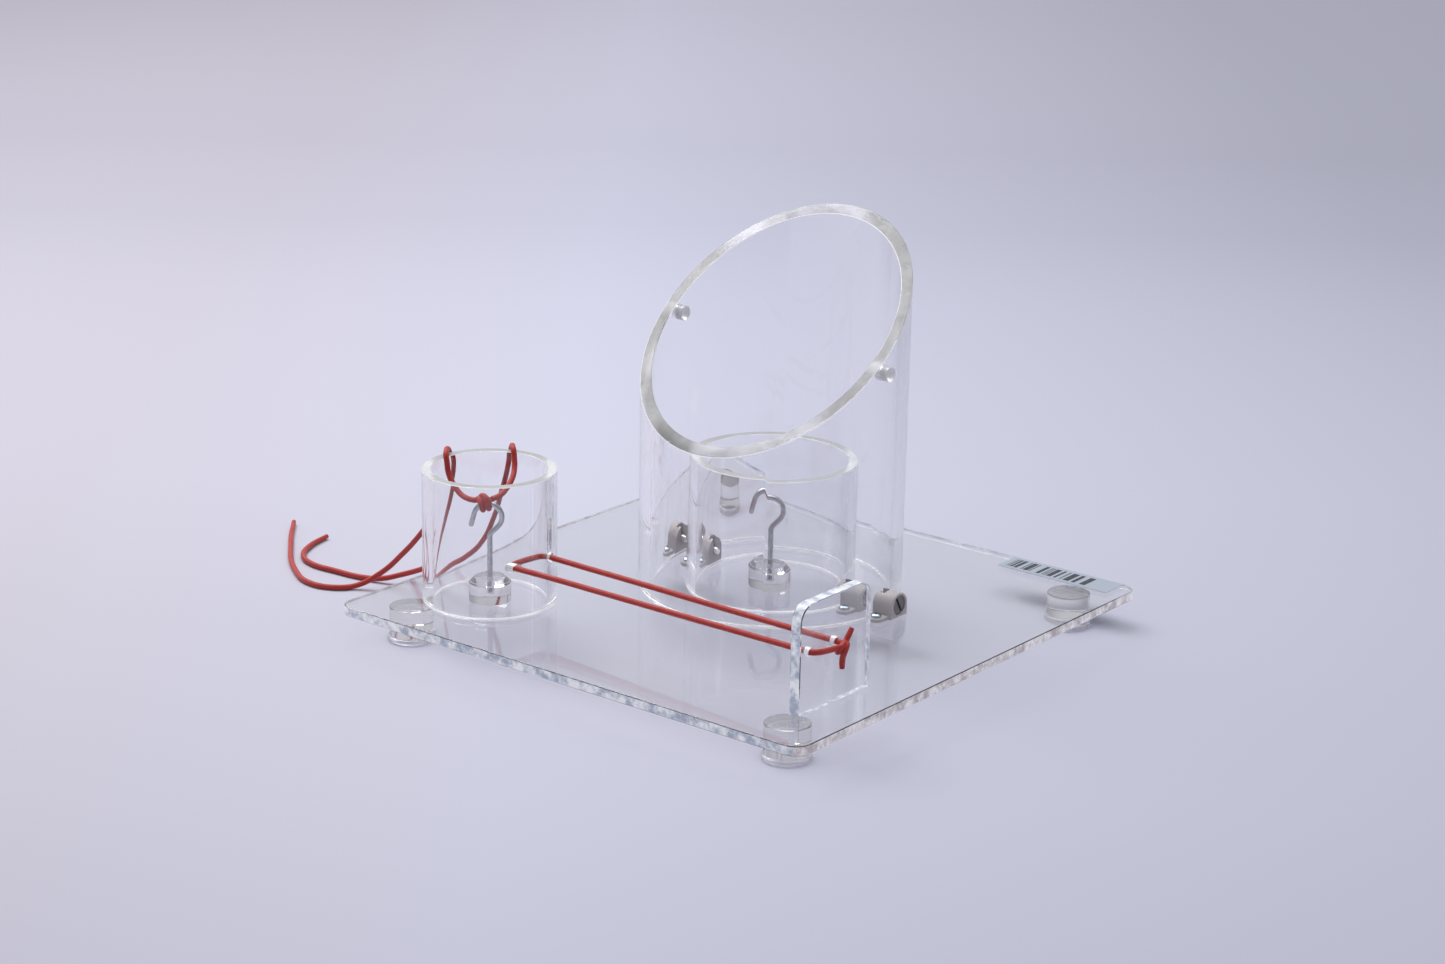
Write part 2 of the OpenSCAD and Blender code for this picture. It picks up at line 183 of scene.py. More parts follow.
def addGrain(tree, shader, stretch, scale, detail, strength, depth):
    grain = addNode(tree, "ShaderNodeGroup", node_tree=grainGroup)
    grain.inputs["Stretch"].default_value = stretch
    grain.inputs["Scale"].default_value = scale
    grain.inputs["Detail"].default_value = detail
    bump = addNode(tree, "ShaderNodeBump", Strength=strength, Distance=depth)
    tree.links.new(grain.outputs["Height"], bump.inputs["Height"])
    tree.links.new(bump.outputs[0], shader.inputs["Normal"])
    return grain


def addSmudges(tree, shader, scale, low, high):
    smudges = addNode(tree, "ShaderNodeGroup", node_tree=smudgeGroup)
    smudges.inputs["Scale"].default_value = scale
    smudges.inputs["Low"].default_value = low
    smudges.inputs["High"].default_value = high
    tree.links.new(smudges.outputs["Value"], shader.inputs["Roughness"])


def colourFrom(tree, socket, stops, shader):
    ramp = tree.nodes.new("ShaderNodeValToRGB")
    ramp.color_ramp.elements[0].position = stops[0][0]
    ramp.color_ramp.elements[0].color = (*stops[0][1], 1)
    ramp.color_ramp.elements[1].position = stops[-1][0]
    ramp.color_ramp.elements[1].color = (*stops[-1][1], 1)
    for place, colour in stops[1:-1]:
        ramp.color_ramp.elements.new(place).color = (*colour, 1)
    tree.links.new(socket, ramp.inputs["Fac"])
    tree.links.new(ramp.outputs["Color"], shader.inputs["Base Color"])
    return ramp


def letLightThrough(tree, shader, out, through, edge):
    # light that matt surfaces gather passes straight through; steep faces and edges hold more of it back
    path = tree.nodes.new("ShaderNodeLightPath")
    slant = addNode(tree, "ShaderNodeLayerWeight", Blend=0.35)
    tint = addNode(tree, "ShaderNodeMix", data_type="RGBA")
    tint.inputs[6].default_value = (*through, 1)
    tint.inputs[7].default_value = (*edge, 1)
    clear = tree.nodes.new("ShaderNodeBsdfTransparent")
    mix = tree.nodes.new("ShaderNodeMixShader")
    straight = addNode(tree, "ShaderNodeMath", operation="MAXIMUM")
    tree.links.new(slant.outputs["Facing"], tint.inputs["Factor"])
    tree.links.new(tint.outputs[2], clear.inputs["Color"])
    tree.links.new(path.outputs["Is Shadow Ray"], straight.inputs[0])
    tree.links.new(path.outputs["Is Diffuse Ray"], straight.inputs[1])
    tree.links.new(straight.outputs[0], mix.inputs["Fac"])
    tree.links.new(shader.outputs[0], mix.inputs[1])
    tree.links.new(clear.outputs[0], mix.inputs[2])
    tree.links.new(mix.outputs[0], out.inputs["Surface"])


def clearPlastic(name, s):
    material, tree, shader, out = startMaterial(name)
    shader.inputs["Transmission Weight"].default_value = s["clear"]
    shader.inputs["IOR"].default_value = 1.49
    addSmudges(tree, shader, s["smudge"], s["low"], s["high"])
    grain = addGrain(tree, shader, s["stretch"], s["scale"], 4, s["strength"], s["depth"])
    if s["dark"] == s["light"]:
        shader.inputs["Base Color"].default_value = (*s["light"], 1)
    else:
        if s["patch"]:
            grain = addNode(tree, "ShaderNodeGroup", node_tree=grainGroup)
            grain.inputs["Scale"].default_value = s["patch"]
        ramp = colourFrom(tree, grain.outputs["Height"], [(0.38, s["dark"]), (0.62, s["light"])], shader)
        # painted glow: a sawn face is given emission that stands in for a little of the light that the clear
        # sheet leads to it
        tree.links.new(ramp.outputs["Color"], shader.inputs["Emission Color"])
        shader.inputs["Emission Strength"].default_value = s["glow"]
    letLightThrough(tree, shader, out, s["through"], s["edge"])
    return material


clearSet = {
    "clear": 1, "smudge": 22, "low": 0.0, "high": 0.02, "stretch": (1, 1, 1), "scale": 60,
    "strength": 0.02, "depth": 0.0003, "dark": (0.985, 0.985, 0.99), "light": (0.985, 0.985, 0.99),
    "through": (0.99, 0.99, 0.995), "edge": (0.74, 0.74, 0.77), "patch": 0, "glow": 0,
}
# the sawn sets give their faces a painted glow through emission, strongest on the broken edges of the rims
sawnSet = {
    "clear": 0.12, "smudge": 90, "low": 0.08, "high": 0.3, "stretch": (1, 1, 0.5), "scale": 420,
    "strength": 0.5, "depth": 0.0006, "dark": (0.42, 0.47, 0.57), "light": (0.95, 0.96, 0.98),
    "through": (0.85, 0.85, 0.87), "edge": (0.6, 0.6, 0.64), "patch": 190, "glow": 0.22,
}
polished = clearPlastic("polishedAcrylic", clearSet)
sheetClear = clearPlastic(
    "sheetAcrylic", {**clearSet, "scale": 25, "high": 0.03, "through": (1, 1, 1), "edge": (0.97, 0.97, 0.98)}
)
sawn = clearPlastic("sawnEdge", sawnSet)
sawnWarm = clearPlastic("sawnEdgeWarm", {**sawnSet, "dark": (0.5, 0.45, 0.46), "light": (0.95, 0.92, 0.93)})
rimSawn = clearPlastic(
    "sawnRim",
    {
        **sawnSet, "clear": 0.6, "stretch": (1, 1, 1), "scale": 900, "strength": 0.2, "patch": 60,
        "dark": (0.85, 0.86, 0.87), "light": (0.99, 0.99, 0.99), "glow": 0.12,
    },
)
rimSlant = clearPlastic(
    "slantedRim",
    {
        **sawnSet, "clear": 0.6, "stretch": (1, 1, 1), "scale": 900, "strength": 0.3, "patch": 35,
        "dark": (0.44, 0.43, 0.43), "light": (0.8, 0.8, 0.82), "glow": 0.05,
    },
)
brokenEdge = clearPlastic(
    "brokenEdge",
    {**sawnSet, "clear": 0.2, "dark": (0.85, 0.85, 0.86), "light": (0.98, 0.98, 0.98), "glow": 0.3},
)
turned = clearPlastic(
    "turnedAcrylic",
    {
        **clearSet, "clear": 0.965, "smudge": 50, "low": 0.01, "high": 0.06, "stretch": (1, 1, 6),
        "scale": 200, "strength": 0.05, "dark": (0.94, 0.915, 0.905), "light": (0.985, 0.97, 0.962),
    },
)
pegClear = clearPlastic(
    "pegAcrylic",
    {
        **clearSet, "clear": 0.6, "smudge": 50, "low": 0.15, "high": 0.3, "scale": 300, "strength": 0.08,
        "dark": (0.9, 0.9, 0.9), "light": (0.99, 0.99, 0.99),
    },
)
softClear = clearPlastic(
    "softPadClear",
    {
        **clearSet, "clear": 0.75, "smudge": 70, "low": 0.12, "high": 0.3, "scale": 900, "strength": 0.25,
        "depth": 0.0002, "dark": (0.78, 0.78, 0.82), "light": (0.92, 0.92, 0.95),
        "through": (0.75, 0.75, 0.79),
    },
)


metalSets = {
    "hookZinc": {
        "dark": (0.42, 0.43, 0.45), "light": (0.66, 0.67, 0.69), "low": 0.06, "high": 0.15,
        "scale": 900, "strength": 0.06,
    },
    "camZinc": {
        "dark": (0.19, 0.18, 0.17), "light": (0.36, 0.35, 0.34), "low": 0.28, "high": 0.5,
        "scale": 1500, "strength": 0.3,
    },
    "screwZinc": {
        "dark": (0.33, 0.44, 0.53), "light": (0.62, 0.7, 0.76), "low": 0.16, "high": 0.3,
        "scale": 1300, "strength": 0.15,
    },
}


def metal(name):
    s = metalSets[name]
    material, tree, shader, _ = startMaterial(name)
    shader.inputs["Metallic"].default_value = 1
    addSmudges(tree, shader, 160, s["low"], s["high"])
    grain = addGrain(tree, shader, (1, 1, 1), s["scale"], 4, s["strength"], 0.0001)
    colourFrom(tree, grain.outputs["Height"], [(0.3, s["dark"]), (0.7, s["light"])], shader)
    return material


hookZinc, camZinc, screwZinc = (metal(name) for name in metalSets)


def housingPlastic():
    material, tree, shader, _ = startMaterial("housingPlastic")
    shader.inputs["Specular IOR Level"].default_value = 0.4
    shader.inputs["Subsurface Weight"].default_value = 0.08
    shader.inputs["Subsurface Scale"].default_value = 0.002
    addSmudges(tree, shader, 200, 0.42, 0.6)
    grain = addGrain(tree, shader, (1, 1, 1), 1600, 3, 0.12, 0.0001)
    colourFrom(
        tree, grain.outputs["Height"], [(0.25, (0.5, 0.465, 0.455)), (0.75, (0.6, 0.565, 0.555))], shader
    )
    return material


def elasticRubber():
    material, tree, shader, _ = startMaterial("redElastic")
    shader.inputs["Sheen Weight"].default_value = 0.12
    shader.inputs["Specular IOR Level"].default_value = 0.35
    addSmudges(tree, shader, 260, 0.42, 0.62)
    grain = addGrain(tree, shader, (1, 1, 1), 1900, 4, 0.35, 0.00015)
    colourFrom(
        tree,
        grain.outputs["Height"],
        [(0.3, (0.37, 0.024, 0.018)), (0.55, (0.5, 0.04, 0.029)), (0.8, (0.58, 0.064, 0.047))],
        shader,
    )
    return material


labelSet = {
    "paper": (0.4, 0.45, 0.52),
    "ink": (0.03, 0.03, 0.045),
    "barWidth": 0.75 * mm,
    "dense": 0.34,
    "barsFrom": 0.05,  # as shares of the label's length and width
    "barsTo": 0.78,
    "barsLow": 0.15,
    "barsHigh": 0.85,
}


def labelPaper(s):
    # dark bars of uneven width that spell nothing
    material, tree, shader, _ = startMaterial("labelPaper")
    low, high = lowest("stock_label"), highest("stock_label")
    where = tree.nodes.new("ShaderNodeTexCoord")
    parts = tree.nodes.new("ShaderNodeSeparateXYZ")
    tree.links.new(where.outputs["Object"], parts.inputs[0])
    step = addNode(tree, "ShaderNodeMath", operation="DIVIDE")
    step.inputs[1].default_value = s["barWidth"]
    whole = addNode(tree, "ShaderNodeMath", operation="FLOOR")
    chance = addNode(tree, "ShaderNodeTexWhiteNoise", noise_dimensions="1D")
    dark = addNode(tree, "ShaderNodeMath", operation="GREATER_THAN")
    dark.inputs[1].default_value = s["dense"]
    tree.links.new(parts.outputs["X"], step.inputs[0])
    tree.links.new(step.outputs[0], whole.inputs[0])
    tree.links.new(whole.outputs[0], chance.inputs["W"])
    tree.links.new(chance.outputs["Value"], dark.inputs[0])
    mask = dark.outputs[0]
    size = high - low
    limits = [
        ("X", "GREATER_THAN", low.x + s["barsFrom"] * size.x),
        ("X", "LESS_THAN", low.x + s["barsTo"] * size.x),
        ("Y", "GREATER_THAN", low.y + s["barsLow"] * size.y),
        ("Y", "LESS_THAN", low.y + s["barsHigh"] * size.y),
    ]
    for axis, operation, value in limits:
        test = addNode(tree, "ShaderNodeMath", operation=operation)
        test.inputs[1].default_value = value
        both = addNode(tree, "ShaderNodeMath", operation="MULTIPLY")
        tree.links.new(parts.outputs[axis], test.inputs[0])
        tree.links.new(test.outputs[0], both.inputs[0])
        tree.links.new(mask, both.inputs[1])
        mask = both.outputs[0]
    colourFrom(tree, mask, [(0.0, s["paper"]), (1.0, s["ink"])], shader)
    addSmudges(tree, shader, 120, 0.35, 0.5)
    addGrain(tree, shader, (1, 1, 1), 2500, 2, 0.1, 0.00005)
    return material


plasticShell = housingPlastic()
redElastic = elasticRubber()
paper = labelPaper(labelSet)
print("materials ready")


def pieceName(node):
    first, *rest = node.split("_")
    return first + "".join(word.capitalize() for word in rest)


def finishShape(bm, name, materials, sharp=16):
    bmesh.ops.recalc_face_normals(bm, faces=bm.faces)
    for face in bm.faces:
        face.smooth = True
    for edge in bm.edges:
        if len(edge.link_faces) == 2 and edge.calc_face_angle(0) > radians(sharp):
            edge.smooth = False
    mesh = bpy.data.meshes.new(pieceName(name))
    bm.to_mesh(mesh)
    bm.free()
    for material in materials:
        mesh.materials.append(material)
    piece = bpy.data.objects.new(pieceName(name), mesh)
    scene.collection.objects.link(piece)
    return piece


def settle(piece, body, slotName, *nodes):
    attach(piece, body)
    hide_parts(*nodes)
    return piece


def spun(profile, steps=128, closed=False):
    # turns a profile of (radius, height) points round the Z axis
    bm = bmesh.new()
    points = [bm.verts.new((r, 0, z)) for r, z in profile]
    edges = [bm.edges.new(pair) for pair in zip(points, points[1:])]
    if closed:
        edges.append(bm.edges.new((points[-1], points[0])))
    bmesh.ops.spin(
        bm, geom=points + edges, cent=(0, 0, 0), axis=(0, 0, 1), angle=2 * pi, steps=steps, use_merge=True
    )
    bmesh.ops.remove_doubles(bm, verts=bm.verts, dist=1e-7)
    return bm


def blockOf(low, high):
    bm = bmesh.new()
    bmesh.ops.create_cube(bm, size=1)
    size = Vector(high) - Vector(low)
    bmesh.ops.scale(bm, vec=size, verts=bm.verts)
    bmesh.ops.translate(bm, vec=(Vector(high) + Vector(low)) / 2, verts=bm.verts)
    return bm


def rounded(bm, edges, offset, segments):
    bmesh.ops.bevel(
        bm, geom=edges, offset=offset, offset_type="OFFSET", segments=segments,
        profile=0.5, affect="EDGES", material=-1, clamp_overlap=False,
    )


def edgesAlong(bm, axis, test=lambda middle: True):
    found = []
    for edge in bm.edges:
        run = (edge.verts[1].co - edge.verts[0].co).normalized()
        centre = (edge.verts[1].co + edge.verts[0].co) / 2
        if abs(run[axis]) > 0.999 and test(centre):
            found.append(edge)
    return found


def creases(bm, least=50):
    return [e for e in bm.edges if len(e.link_faces) == 2 and e.calc_face_angle(0) > radians(least)]


def rodShape(radius, fromZ, toZ, soft=0.0, steps=64):
    if soft:
        side = [(radius - soft, fromZ), (radius, fromZ + soft), (radius, toZ - soft), (radius - soft, toZ)]
    else:
        side = [(radius, fromZ), (radius, toZ)]
    return spun([(0, fromZ), *side, (0, toZ)], steps)


def moved(bm, place=(0, 0, 0), axis=None, angle=0.0):
    if axis:
        bmesh.ops.rotate(bm, cent=(0, 0, 0), matrix=Matrix.Rotation(radians(angle), 3, axis), verts=bm.verts)
    bmesh.ops.translate(bm, vec=Vector(place), verts=bm.verts)
    return bm


def alongX(bm):
    return moved(bm, axis="Y", angle=90)


def combine(piece, shapes, operation, sharp=16):
    # joins shapes to a piece or cuts them out of it one after another, and keeps the result as its mesh
    for shape in shapes:
        if len(piece.data.materials) > 1:
            for face in shape.faces:
                face.material_index = 1
        helper = finishShape(shape, "helper", [])
        step = piece.modifiers.new("combine", "BOOLEAN")
        step.operation = operation
        step.solver = "EXACT"
        step.object = helper
        bpy.context.view_layer.update()
        ready = piece.evaluated_get(bpy.context.evaluated_depsgraph_get())
        mesh = bpy.data.meshes.new_from_object(ready)
        piece.modifiers.clear()
        old, piece.data = piece.data, mesh
        bpy.data.meshes.remove(old)
        cutter = helper.data
        bpy.data.objects.remove(helper)
        bpy.data.meshes.remove(cutter)
        bm = bmesh.new()
        bm.from_mesh(mesh)
        bmesh.ops.remove_doubles(bm, verts=bm.verts, dist=1e-7)
        for edge in bm.edges:
            edge.smooth = not (len(edge.link_faces) == 2 and edge.calc_face_angle(0) > radians(sharp))
        bm.to_mesh(mesh)
        bm.free()
    return piece


def wire(name, points, diameter, material, kind="POLY", tips=(1, 1), sides=6):
    # a round cord or wire along points, with its tips drawn in
    data = bpy.data.curves.new(pieceName(name), "CURVE")
    data.dimensions = "3D"
    data.bevel_depth = diameter / 2
    data.bevel_resolution = sides
    data.use_fill_caps = True
    data.resolution_u = 8
    data.render_resolution_u = 8
    data.twist_mode = "MINIMUM"
    spline = data.splines.new(kind)
    if kind == "BEZIER":
        spline.bezier_points.add(len(points) - 1)
        for knot, point in zip(spline.bezier_points, points):
            knot.co = point
            knot.handle_left_type = knot.handle_right_type = "AUTO"
        spline.bezier_points[0].radius, spline.bezier_points[-1].radius = tips
    else:
        spline.points.add(len(points) - 1)
        for knot, point in zip(spline.points, points):
            knot.co = (*point, 1)
    data.materials.append(material)
    piece = bpy.data.objects.new(pieceName(name), data)
    scene.collection.objects.link(piece)
    return piece, spline


def meshOf(piece):
    # takes a wire's surface as a mesh and removes the wire
    bpy.context.view_layer.update()
    mesh = bpy.data.meshes.new_from_object(piece.evaluated_get(bpy.context.evaluated_depsgraph_get()))
    data = piece.data
    bpy.data.objects.remove(piece)
    bpy.data.curves.remove(data)
    return mesh


def inMetres(route):
    return [Vector(point) * mm for point in route]


cordSet = {"diameter": 3 * mm, "tip": 0.86}
leftRoute = [
    (-104, -94.5, 73.6), (-108.3, -95.2, 73.7), (-114.5, -95, 75.1), (-120, -94.5, 79.2),
    (-123.7, -93.7, 84), (-124.9, -93.4, 89.3), (-126.4, -92.5, 92.7), (-129, -89.4, 93.4),
    (-131.8, -86, 93.2), (-133.2, -83.6, 92.2), (-133.6, -82.2, 89.8), (-133.8, -81, 84),
    (-137, -81.6, 70), (-146, -81, 53), (-159.5, -77.5, 38.5), (-175, -76, 23), (-189, -79, 9.5),
    (-199, -87, 2.4), (-207.5, -96, 1.6), (-222, -99.5, 1.6), (-242, -91, 1.6),
    (-282, -56.5, 1.6), (-306, -31, 1.6),
]
rightRoute = [
    (-98.3, -87.6, 73.9), (-97, -83.5, 75), (-97.6, -77.5, 77.2), (-99.6, -70.8, 80.6),
    (-102.6, -65.8, 85), (-104.6, -63.8, 89.5), (-106, -62.8, 92.7), (-108.3, -60.9, 93.4),
    (-110.7, -58.5, 93.2), (-112.3, -57.2, 92.2), (-113.1, -57, 89.8), (-113.8, -57.1, 84),
    (-117.5, -58, 69), (-122.5, -59.5, 53), (-130.5, -62.5, 37.2), (-142, -65, 27.3),
    (-156, -65.5, 20), (-172, -64.5, 12), (-186, -65.8, 6), (-196.5, -70.5, 2.6),
    (-208, -74, 1.6), (-226, -76, 1.6), (-246, -76, 1.6), (-259, -69, 1.6), (-268, -55, 1.6),
    (-273, -37, 1.6),
]
bandRoute = [
    (129.5, -96.2, 49.5), (128.9, -103, 50), (127.9, -107.8, 50.5), (125.5, -109.9, 50.5),
    (120, -110, 50.5), (100, -109.4, 50.1), (50, -108.1, 49.2), (0, -106.8, 48.4),
    (-50, -105.2, 47.5), (-66, -104.6, 47), (-70, -104.4, 47), (-72.2, -103.2, 47),
    (-73, -100.8, 47), (-72.4, -84.2, 47), (-71.5, -81.4, 47), (-69.4, -80.1, 47),
    (-66, -80, 47), (-50, -80.6, 47.2), (0, -83.2, 48.2), (50, -86, 49.1), (100, -88.6, 50.1),
    (120, -89.5, 50.5), (126.1, -89.5, 50.5),
]


def makeTieCord(name, route):
    points = inMetres(route)
    piece, _ = wire(name, points, cordSet["diameter"], redElastic, "BEZIER", (1, cordSet["tip"]))
    settle(piece, "board", "red_elastic", name)
    return piece, points


leftCord, leftPoints = makeTieCord("tie_cord_left", leftRoute)
rightCord, rightPoints = makeTieCord("tie_cord_right", rightRoute)
bandLoop, _ = wire("band_loop", inMetres(bandRoute), cordSet["diameter"], redElastic, "BEZIER")
settle(bandLoop, "board", "red_elastic", "band_loop")

print("cords ready")


hookSet = {
    "wire": 2.8 * mm,
    "ringRadius": 7.3 * mm,
    "ringShift": -1 * mm,
    "ringStart": -45,
    "ringEnd": 165,
    "elbow": 3 * mm,
    "elbowShare": 0.4142,  # tangent of half of the elbow's 45 degrees
    "tip": 7.4 * mm,
    "turn": 38,
    "pitch": 1 * mm,
    "threadDepth": 0.35 * mm,
    "bore": 8 * mm,
    "point": 0.3 * mm,
}
standSet = {"chamfer": 2.5 * mm, "bore": 1.5 * mm, "edge": 0.15 * mm}


def arc(centreX, centreZ, radius, start, end, steps):
    angles = [radians(start + (end - start) * i / steps) for i in range(steps + 1)]
    return [(centreX + radius * cos(a), centreZ + radius * sin(a)) for a in angles]


def makeHook(name, stand, body):
    s = hookSet
    half = s["wire"] / 2
    axis = middle(stand)
    standTop = highest(stand).z
    ringZ = highest(name).z - s["ringRadius"] - half
    ring = arc(s["ringShift"], ringZ, s["ringRadius"], s["ringEnd"], s["ringStart"], 48)
    (endX, endZ), (startX, startZ) = ring[0], ring[-1]
    slope = radians(s["ringEnd"])
    corner = s["elbow"] * s["elbowShare"]
    shankTop = startZ - startX - corner
    line = []
    for share in (1, 0.985, 0.94, 0.87, 0.6, 0.3):
        line.append((endX - sin(slope) * s["tip"] * share, endZ + cos(slope) * s["tip"] * share))
    radii = [0.05, 0.5, 0.82, 1]
    line += ring
    line += arc(s["elbow"], shankTop, s["elbow"], 135, 180, 8)
    line += [(0, standTop + half), (0, standTop - 0.2 * mm)]
    turn = radians(s["turn"])
    points = [(axis.x + x * cos(turn), axis.y + x * sin(turn), z) for x, z in line]
    piece, spline = wire(name, points, s["wire"], hookZinc, sides=8)
    for knot, radius in zip(spline.points, radii):
        knot.radius = radius
    mesh = meshOf(piece)
    bm = threadedShank(axis, standTop)
    bm.from_mesh(mesh)
    bpy.data.meshes.remove(mesh)
    bmesh.ops.remove_doubles(bm, verts=bm.verts, dist=1e-7)
    piece = finishShape(bm, name, [hookZinc], sharp=50)
    return settle(piece, body, "hook_wire", name)


def threadedShank(axis, standTop):
    s = hookSet
    half = s["wire"] / 2
    bottom = standTop - s["bore"] + s["point"]
    profile = [(0, bottom), (half * 0.55, bottom)]
    height = bottom + 0.5 * s["pitch"]
    while height < standTop - s["pitch"]:
        profile += [(half - s["threadDepth"], height), (half, height + 0.42 * s["pitch"])]
        profile += [(half, height + 0.58 * s["pitch"])]
        height += s["pitch"]
    profile += [(half - s["threadDepth"], height), (half - s["threadDepth"], standTop), (0, standTop)]
    return moved(spun(profile, 40), (axis.x, axis.y, 0))


def makeStand(name):
    s = standSet
    low, high = lowest(name), highest(name)
    radius, bottom = (high.x - low.x) / 2, low.z + skin
    c, e = s["chamfer"], s["edge"]
    deep = high.z - hookSet["bore"]
    profile = [
        (0, bottom), (radius - e, bottom), (radius, bottom + e), (radius, high.z - c - e),
        (radius - e, high.z - c), (radius - c, high.z - e), (radius - c - e, high.z),
        (s["bore"] + e, high.z), (s["bore"], high.z - e), (s["bore"], deep), (0, deep),
    ]
    centre = middle(name)
    piece = finishShape(moved(spun(profile), (centre.x, centre.y, 0)), name, [turned], sharp=16)
    return settle(piece, "board", "clear_rod", name)


makeHook("left_hook", "left_stand", "board")
makeHook("right_hook", "right_stand", "right_hook_body")
makeStand("left_stand")
makeStand("right_stand")
print("hooks ready")


tieKnotSet = {
    "place": 102,  # degrees round the hook's ring
    # along the wire, out from the ring, across it
    "route": [
        (4.3, 2.4, 0.95), (2.9, 3.1, 0.4), (1.9, 2.6, -1.5), (1.5, 0.2, -2.9), (1.5, -2.5, -1.5),
        (1.6, -2.6, 1.4), (1.5, 0, 2.9), (0.9, 2.6, 1.5), (-0.2, 3.2, -0.6), (-1.3, 1.4, -2.6),
        (-1.6, -1.3, -2.6), (-1.6, -2.9, 0.2), (-1.7, -1.6, 2.5), (-2.4, 0, 2.9), (-3.6, 0.9, 2.5),
    ],
    "over": [(-3.6, 0.5, -2.4), (-1.8, 3.2, -2), (0, 4.3, 0.2), (1.9, 3.1, 2.2), (3.2, 0.4, 2.7)],
}
bandKnotSet = {
    "centre": (130.2, -91.1, 48.9),
    # out from the post, to the back, up
    "route": [
        (0.4, 6.9, 8), (0.3, 4.6, 5), (0.2, 2, 2.2), (1.3, -0.8, 1.9), (0.9, -2.9, 0.4), (-1, -2.1, -2),
        (-1.5, 0.5, -1.9), (-0.9, 2.5, 0.2), (1.3, 1.9, 1.6), (2.6, -0.4, 0.3), (1.8, -0.9, -2.6),
        (0.8, -0.3, -5), (0.3, 0, -8), (0.2, 0.2, -10.6),
    ],
    "inlet": [(-3.6, 1.6, 1.6), (-1.5, 1.4, 1.2), (0.3, -0.3, -0.6), (0.3, -2.6, 0.8), (-0.7, -5.1, 0.6)],
}


def strand(points, tips=(1, 1)):
    piece, _ = wire("strand", points, cordSet["diameter"], redElastic, "BEZIER", tips, sides=5)
    return meshOf(piece)


def knotOf(name, strands):
    bm = bmesh.new()
    for mesh in strands:
        bm.from_mesh(mesh)
        bpy.data.meshes.remove(mesh)
    piece = finishShape(bm, name, [redElastic], sharp=50)
    return settle(piece, "board", "red_elastic", name)


def makeTieKnot():
    s, h = tieKnotSet, hookSet
    turn, place = radians(h["turn"]), radians(s["place"])
    hookAxis = middle("left_stand")
    ringZ = highest("left_hook").z - h["ringRadius"] - h["wire"] / 2
    flat = Vector((cos(turn), sin(turn), 0))
    along = -sin(place) * flat + Vector((0, 0, cos(place)))
    out = cos(place) * flat + Vector((0, 0, sin(place)))
    across = Vector((-sin(turn), cos(turn), 0))
    centre = Vector((hookAxis.x, hookAxis.y, ringZ)) + h["ringShift"] * flat + h["ringRadius"] * out
    placed = [
        [centre + mm * (a * along + b * out + c * across) for a, b, c in s[key]] for key in ("route", "over")
    ]
    knotOf("tie_knot", [strand(points) for points in placed])


def makeBandKnot():
    centre = Vector(bandKnotSet["centre"]) * mm
    placed = [[centre + mm * Vector(point) for point in bandKnotSet[key]] for key in ("route", "inlet")]
    tip = cordSet["tip"]
    knotOf("band_knot", [strand(placed[0], (tip, tip)), strand(placed[1])])


makeTieKnot()
makeBandKnot()
print("knots ready")


plateSet = {"corner": 9 * mm, "edge": 0.35 * mm, "screwHole": 1.35 * mm, "screwDepth": 3.2 * mm}


def makePlate(s):
    bm = blockOf(*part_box("base_plate"))
    rounded(bm, edgesAlong(bm, 2), s["corner"], 12)
    rim = [e for e in bm.edges if abs(e.verts[0].co.z - e.verts[1].co.z) < 1e-6]
    rounded(bm, [e for e in rim if e.calc_face_angle(0) > radians(50)], s["edge"], 2)
    for face in bm.faces:
        if abs(face.normal.z) < 0.3:
            face.material_index = 2 if face.normal.x > 0.5 or face.normal.x < -0.5 else 1
    piece = finishShape(bm, "base_plate", [sheetClear, sawn, sawnWarm])
    holes = []
    for i in (1, 2, 3, 4):
        head = middle(f"housing_screw_{i}")
        hole = rodShape(s["screwHole"], plateTop - s["screwDepth"], plateTop + mm, steps=32)
        holes.append(moved(hole, (head.x, head.y, 0)))
    combine(piece, holes, "DIFFERENCE")
    settle(piece, "board", "clear_sheet", "base_plate")


footSet = {"edge": 0.6 * mm, "padEdge": 0.9 * mm, "padDish": 0.4 * mm}


def makeFoot(i, s):
    low, high = lowest(f"foot_{i}"), highest(f"foot_{i}")
    centre, radius, e = middle(f"foot_{i}"), (high.x - low.x) / 2, s["edge"]
    bottom, top = low.z + skin, high.z - skin
    profile = [
        (0, bottom), (radius - e, bottom), (radius - e * 0.3, bottom + e * 0.3), (radius, bottom + e),
        (radius, top - e), (radius - e * 0.3, top - e * 0.3), (radius - e, top), (0, top),
    ]
    piece = finishShape(moved(spun(profile), (centre.x, centre.y, 0)), f"foot_{i}", [turned])
    settle(piece, "board", "clear_rod", f"foot_{i}")
    low, high = lowest(f"foot_pad_{i}"), highest(f"foot_pad_{i}")
    radius, e, dish = (high.x - low.x) / 2, s["padEdge"], s["padDish"]
    profile = [
        (0, dish), (radius * 0.7, dish), (radius * 0.78, 0), (radius - e, 0), (radius - e * 0.3, e * 0.3),
        (radius, e), (radius, high.z - e), (radius - e * 0.3, high.z - e * 0.3), (radius - e, high.z),
        (0, high.z),
    ]
    piece = finishShape(moved(spun(profile), (centre.x, centre.y, 0)), f"foot_pad_{i}", [softClear])
    settle(piece, "board", "soft_pad", f"foot_pad_{i}")


postSet = {
    "corner": 9 * mm,
    "edge": 0.4 * mm,
    "hole": 2.5 * mm,
    "holeHeight": 50.5 * mm,
    "holes": (-110 * mm, -89.5 * mm),
}


